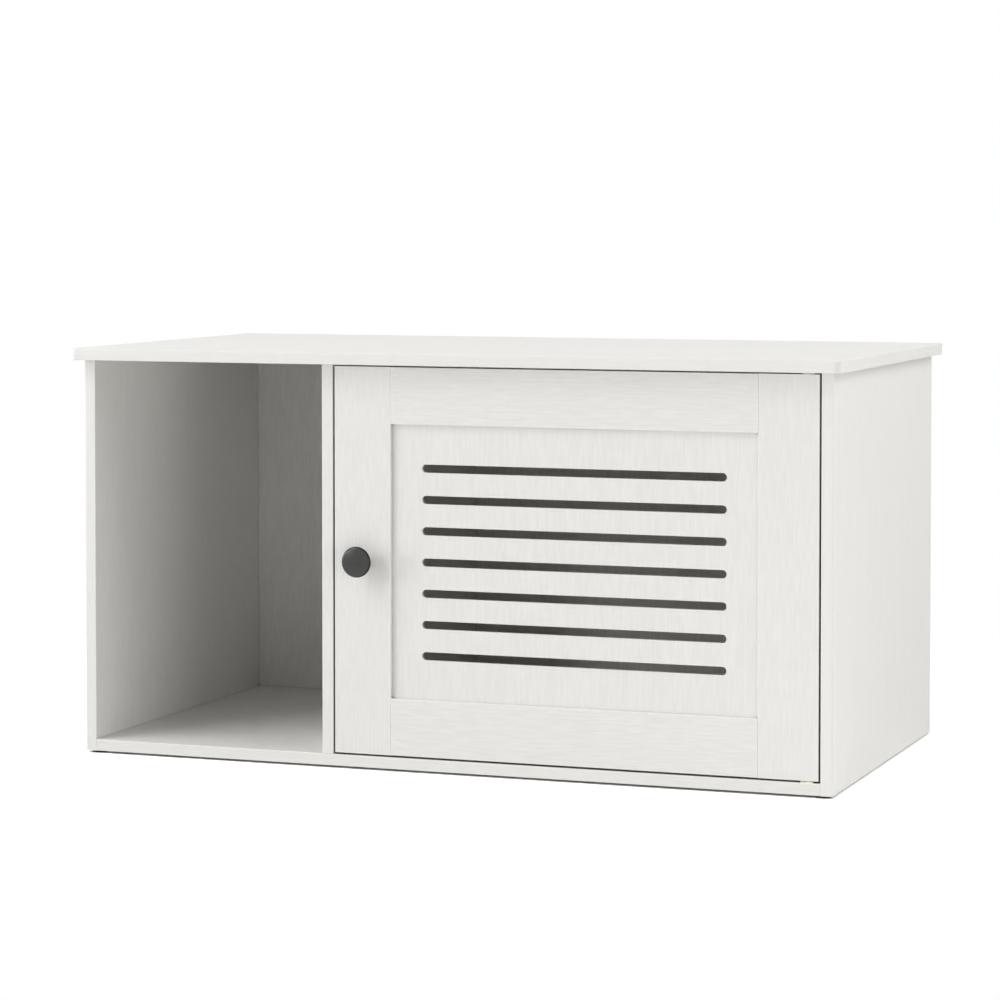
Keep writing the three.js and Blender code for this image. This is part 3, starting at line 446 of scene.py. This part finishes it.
black_rubber = rubber()
for corner in ("front_left", "front_right", "rear_left", "rear_right"):
    low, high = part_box("foot_pad_" + corner)
    radius = (high.x - low.x) / 2
    height = high.z - low.z
    middle = Vector(((low.x + high.x) / 2, (low.y + high.y) / 2, low.z))
    profile = [(PAD_DISH_DEPTH, 0), (PAD_DISH_DEPTH, radius * PAD_DISH_FLAT),
               (0, radius * PAD_DISH)]
    profile += arc_points((PAD_RIM, radius - PAD_RIM), PAD_RIM, -90, 0, PAD_RIM_STEPS)
    profile += [(height - PAD_ARRIS, radius), (height, radius - PAD_ARRIS), (height, 0)]
    pad = turned_mesh("rubber_foot_" + corner, profile, PAD_STEPS, middle, "Z")
    pad.data.materials.append(black_rubber)
    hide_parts("foot_pad_" + corner)
    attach(pad, "case")


# ---- Pivot hinges ---------------------------------------------------------------------------
# At the top and the bottom of the door's right end a steel plate is screwed to the case, and a
# flanged pin in the door's stile turns in its hole. Nickel plated, a little warm in tone.

for end in ("top", "bottom"):
    for part in ("hinge_plate", "hinge_screw_1", "hinge_screw_2", "hinge_pin"):
        finish_node(f"{end}_{part}", plated_steel)


# ---- Magnetic catch -------------------------------------------------------------------------
# A housing of white moulded plastic on the divider holds a ferrite magnet between two steel
# pole plates, which stand proud to meet the door's strike plate.

CATCH_WHITE = (0.700, 0.690, 0.660, 1)
CATCH_SHADE = (0.600, 0.590, 0.560, 1)
FERRITE = (0.035, 0.033, 0.033, 1)
FERRITE_CHALKY = (0.090, 0.085, 0.083, 1)


def moulded(name, colour, shade, roughness, grain_size):
    """Moulded plastic or pressed ferrite: an even colour with faint clouds, and a fine grain."""
    finish = Finish(name)
    place = finish.add("TexCoord", {}, out="Object")
    grain = finish.noise(place, grain_size, 4.0, 0.6)
    cloud = finish.noise(place, grain_size * 12, 2.0, 0.5)
    finish.feed(finish.shader, {
        "Base Color": finish.blend(finish.spread(cloud, 0.4, 0.7), colour, shade),
        "Roughness": finish.spread(grain, 0.3, 0.7, roughness - 0.08, roughness + 0.08),
        "Normal": finish.bump(grain, 0.00005, 0.5)})
    return finish.material


finish_node("catch_housing", moulded(
    "catch_plastic", CATCH_WHITE, CATCH_SHADE, roughness=0.42, grain_size=0.0006))
finish_node("catch_magnet", moulded(
    "ferrite", FERRITE, FERRITE_CHALKY, roughness=0.75, grain_size=0.0005))
for part in ("pole_plate_left", "pole_plate_right", "screw_lower", "screw_upper"):
    finish_node("catch_" + part, plated_steel)


# ---- Door frame -----------------------------------------------------------------------------
# Two stiles and two rails of foiled fibreboard. The rails' tongues sit in grooves in the
# stiles, so the joints show only as fine lines. The grain stands in the stiles and lies in the
# rails.

RAIL_TONGUE = 0.008

foil_board("door_left_stile", "Z", seed=6.37)
foil_board("door_right_stile", "Z", seed=7.61)
foil_board("door_top_rail", "X", seed=8.19, relief=1.25, hidden=(RAIL_TONGUE, 0, 0))
foil_board("door_bottom_rail", "X", seed=9.47, relief=1.25, hidden=(RAIL_TONGUE, 0, 0))


# ---- Slotted door panel ---------------------------------------------------------------------
# 5 mm fibreboard with the same foil, held loose in the frame's grooves. Seven air slots with
# round ends are routed through it.

PANEL_TONGUE = 0.008

foil_board("door_slotted_panel", "Z", seed=10.93, hidden=(PANEL_TONGUE, 0, PANEL_TONGUE))


# ---- Knob and its screw ---------------------------------------------------------------------
# A turned metal knob in dark grey satin lacquer: a slightly domed face with an eased rim, and a
# slim neck on a flared base. A screw from behind the stile holds it.

KNOB_GREY = (0.031, 0.031, 0.030, 1)
KNOB_GREY_RUBBED = (0.038, 0.038, 0.037, 1)
# painted shade round the knob's rim
KNOB_RIM_PAINTED_SHADE = (0.012, 0.012, 0.012, 1)
KNOB_ROUGHNESS = (0.16, 0.24)
KNOB_SHINE = (0.5, 0.1)  # on the face, and at the rim
KNOB_PEEL_SIZE = 0.0009
KNOB_CLOUD_SIZE = 0.012
KNOB_RIM_DARKENS = (0.0018, 0.0008)  # metres in from the rim, where it starts and is full
KNOB_CROWN = 0.0014  # metres, as are the sizes down to KNOB_ARRIS
KNOB_EASE = 0.0029
KNOB_RIM = 0.0034
KNOB_SWEEP = 0.008
KNOB_NECK_RADIUS = 0.006
KNOB_BASE_RADIUS = 0.0085
KNOB_BASE = 0.002
KNOB_FLARE = 0.002
KNOB_ARRIS = 0.0004
KNOB_STEPS = 96  # round the axis
CROWN_STEPS = 12
EASE_STEPS = 10
SWEEP_STEPS = 12
FLARE_STEPS = 6

low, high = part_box("door_knob")
rim = (high.x - low.x) / 2
middle = Vector(((low.x + high.x) / 2, 0, (low.z + high.z) / 2))


def lacquer():
    finish = Finish("knob_lacquer")
    place = finish.add("TexCoord", {}, out="Object")
    peel = finish.noise(place, KNOB_PEEL_SIZE, 3.0, 0.5)
    cloud = finish.noise(place, KNOB_CLOUD_SIZE, 2.0, 0.5)
    colour = finish.blend(finish.spread(cloud, 0.4, 0.68), KNOB_GREY, KNOB_GREY_RUBBED)
    across, _, up = finish.split(finish.vector("SUBTRACT", place, middle))
    from_axis = finish.math("SQRT", finish.math(
        "ADD", finish.math("MULTIPLY", across, across), finish.math("MULTIPLY", up, up)))
    on_rim = finish.spread(from_axis, *(rim - inset for inset in KNOB_RIM_DARKENS))
    # painted shade: the colour darkens towards the rim
    colour = finish.blend(on_rim, colour, KNOB_RIM_PAINTED_SHADE)
    finish.feed(finish.shader, {
        "Base Color": colour, "Roughness": finish.spread(peel, 0.3, 0.7, *KNOB_ROUGHNESS),
        "Specular IOR Level": finish.spread(on_rim, 0.0, 1.0, *KNOB_SHINE),
        "Normal": finish.bump(peel, 0.00003, 0.3)})
    return finish.material


rim_front, back = low.y + KNOB_CROWN, high.y
lean = math.atan(2 * KNOB_CROWN / (rim - KNOB_EASE))
crown_radius = rim - KNOB_EASE * (1 - math.sin(lean))
profile = [(low.y + KNOB_CROWN * (i / CROWN_STEPS) ** 2, crown_radius * i / CROWN_STEPS)
           for i in range(CROWN_STEPS)]
profile += arc_points((rim_front + KNOB_EASE * math.cos(lean), rim - KNOB_EASE), KNOB_EASE,
                      math.degrees(lean) - 90, 0, EASE_STEPS)
profile.append((rim_front + KNOB_RIM - KNOB_ARRIS, rim))
sweep_radius = rim - KNOB_ARRIS
for i in range(SWEEP_STEPS + 1):
    angle = i / SWEEP_STEPS * math.pi / 2
    profile.append((rim_front + KNOB_RIM + KNOB_SWEEP * (1 - math.cos(angle)),
                    sweep_radius - (sweep_radius - KNOB_NECK_RADIUS) * math.sin(angle)))
flare_width = KNOB_BASE_RADIUS - KNOB_NECK_RADIUS
for i in range(FLARE_STEPS + 1):
    angle = i / FLARE_STEPS * math.pi / 2
    profile.append((back - KNOB_BASE - KNOB_FLARE * (1 - math.sin(angle)),
                    KNOB_NECK_RADIUS + flare_width * (1 - math.cos(angle))))
profile += [(back - KNOB_ARRIS, KNOB_BASE_RADIUS), (back, KNOB_BASE_RADIUS - KNOB_ARRIS),
            (back, 0)]
knob = turned_mesh("turned_knob", profile, KNOB_STEPS, middle, "Y")
knob.data.materials.append(lacquer())
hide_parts("door_knob")
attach(knob, "door")
finish_node("knob_screw", plated_steel)


# ---- Strike plate ---------------------------------------------------------------------------
# A small steel plate with one screw on the back of the door's free edge, where the catch's
# magnet holds it.

finish_node("strike_plate", plated_steel)
finish_node("strike_screw", plated_steel)


# ---- Floor and background -------------------------------------------------------------------
# A white studio floor that runs out into a white background. Near the cabinet it shows the
# light that falls on it, and so keeps the shadow. Further out it is plain white.

FLOOR_HALF = 12.0
FLOOR_WHITE = (0.80, 0.80, 0.79, 1)
FLOOR_SEEN = (0.78, 0.78, 0.78, 1)  # seen twice over, so that the lit floor is white
SHADOW_REACH = (0.75, 1.35)  # metres from the middle of the floor
WORLD_STRENGTH = 0.102
WORLD_COLOUR = (1.0, 0.995, 0.985, 1)

mesh = bpy.data.meshes.new("studio_floor")
mesh.from_pydata([(-FLOOR_HALF, -FLOOR_HALF, 0), (FLOOR_HALF, -FLOOR_HALF, 0),
                  (FLOOR_HALF, FLOOR_HALF, 0), (-FLOOR_HALF, FLOOR_HALF, 0)], [], [(0, 1, 2, 3)])
floor = bpy.data.objects.new("studio_floor", mesh)
bpy.context.scene.collection.objects.link(floor)


def seen_directly(nodes):
    """1 where a ray comes from the camera, a mirror surface or glass, and 0 elsewhere."""
    path = nodes.add("LightPath", {}).node.outputs
    share = path["Is Camera Ray"]
    for kind in ("Is Glossy Ray", "Is Transmission Ray"):
        share = nodes.math("MAXIMUM", share, path[kind])
    return share


paint = bpy.data.materials.new("studio_floor")
paint.use_nodes = True
paint.node_tree.nodes.clear()
nodes = Nodes(paint.node_tree)
lit = nodes.add("BsdfDiffuse", {"Color": FLOOR_WHITE})
near = nodes.add("AddShader", {
    0: nodes.add("BsdfDiffuse", {"Color": FLOOR_SEEN}),
    1: nodes.add("BsdfDiffuse", {"Color": FLOOR_SEEN})})
plain = nodes.add("Emission", {"Strength": 1.0})
place = nodes.add("TexCoord", {}, out="Object")
from_middle = nodes.add("VectorMath", {0: place}, out="Value", operation="LENGTH")
seen = nodes.add("MixShader", {0: nodes.spread(from_middle, *SHADOW_REACH), 1: near, 2: plain})
shown = nodes.add("MixShader", {0: seen_directly(nodes), 1: lit, 2: seen})
nodes.feed(nodes.tree.nodes.new("ShaderNodeOutputMaterial"), {"Surface": shown})
mesh.materials.append(paint)

world = bpy.data.worlds.new("studio")
bpy.context.scene.world = world
world.use_nodes = True
world.node_tree.nodes.clear()
nodes = Nodes(world.node_tree)
soft = nodes.add("Background", {"Color": WORLD_COLOUR, "Strength": WORLD_STRENGTH})
white = nodes.add("Background", {"Color": (1, 1, 1, 1), "Strength": 1.0})
shown = nodes.add("MixShader", {0: seen_directly(nodes), 1: soft, 2: white})
nodes.feed(nodes.tree.nodes.new("ShaderNodeOutputWorld"), {"Surface": shown})


# ---- Lamps ----------------------------------------------------------------------------------
# Large soft lamps all round the cabinet, the strongest from high at the left. The one straight
# in front is very weak, so the bays stay shaded. A small one stands near, low at the right.

LAMP_AIM = (0, 0, 0.25)
LAMP_SIZE = 2.6


def soft_lamp(name, place, power, size=LAMP_SIZE, aim=LAMP_AIM):
    lamp = bpy.data.lights.new(name, "AREA")
    lamp.shape = "SQUARE"
    lamp.size = size
    lamp.energy = power
    made = bpy.data.objects.new(name, lamp)
    made.location = place
    made.rotation_euler = (Vector(aim) - Vector(place)).to_track_quat("-Z", "Y").to_euler()
    bpy.context.scene.collection.objects.link(made)


soft_lamp("lamp_left_low", (-5.05, -1.64, 1.67), 60.0)
soft_lamp("lamp_front_left_low", (-3.50, -3.89, 1.95), 63.6)
soft_lamp("lamp_front_left_high", (-2.60, -2.60, 4.34), 100.0)
soft_lamp("lamp_front_high", (0.00, -3.54, 4.46), 2.9)
soft_lamp("lamp_right_low", (4.92, -1.79, 1.95), 36.7)
soft_lamp("lamp_right_high", (3.50, -1.14, 4.34), 44.2)
soft_lamp("lamp_right_rear", (4.28, 1.39, 3.40), 66.0)
soft_lamp("lamp_overhead", (0.00, 0.00, 5.75), 46.4, size=3.0)
soft_lamp("lamp_rear_right", (2.38, 4.13, 3.00), 50.0)
soft_lamp("lamp_rear_left", (-3.06, 3.65, 3.00), 6.0)
soft_lamp("lamp_near_right_low", (1.50, -1.60, 0.30), 5.9, size=0.6, aim=(0.35, -0.25, 0.0))
soft_lamp("lamp_left_level", (-4.75, -2.74, 0.73), 48.0, size=1.4)


# ---- Camera ---------------------------------------------------------------------------------
# A long lens from the right, a little above the top. The frame is shifted down so that the
# uprights stay upright in the picture.

CAMERA_PLACE = (1.4721, -4.0716, 0.7079)
CAMERA_YAW = 0.35124  # radians to the left of straight back
CAMERA_TILT = 0.03824  # radians down
SENSOR_WIDTH = 36  # millimetres, as is the lens
LENS = 118.1
SHIFT_DOWN = 0.165

lens = bpy.data.cameras.new("camera")
lens.sensor_width = SENSOR_WIDTH
lens.lens = LENS
lens.shift_y = -SHIFT_DOWN
camera = bpy.data.objects.new("camera", lens)
camera.location = CAMERA_PLACE
camera.rotation_euler = (math.pi / 2 - CAMERA_TILT, 0, CAMERA_YAW)
bpy.context.scene.collection.objects.link(camera)
bpy.context.scene.camera = camera
bpy.context.scene.view_settings.view_transform = "Standard"
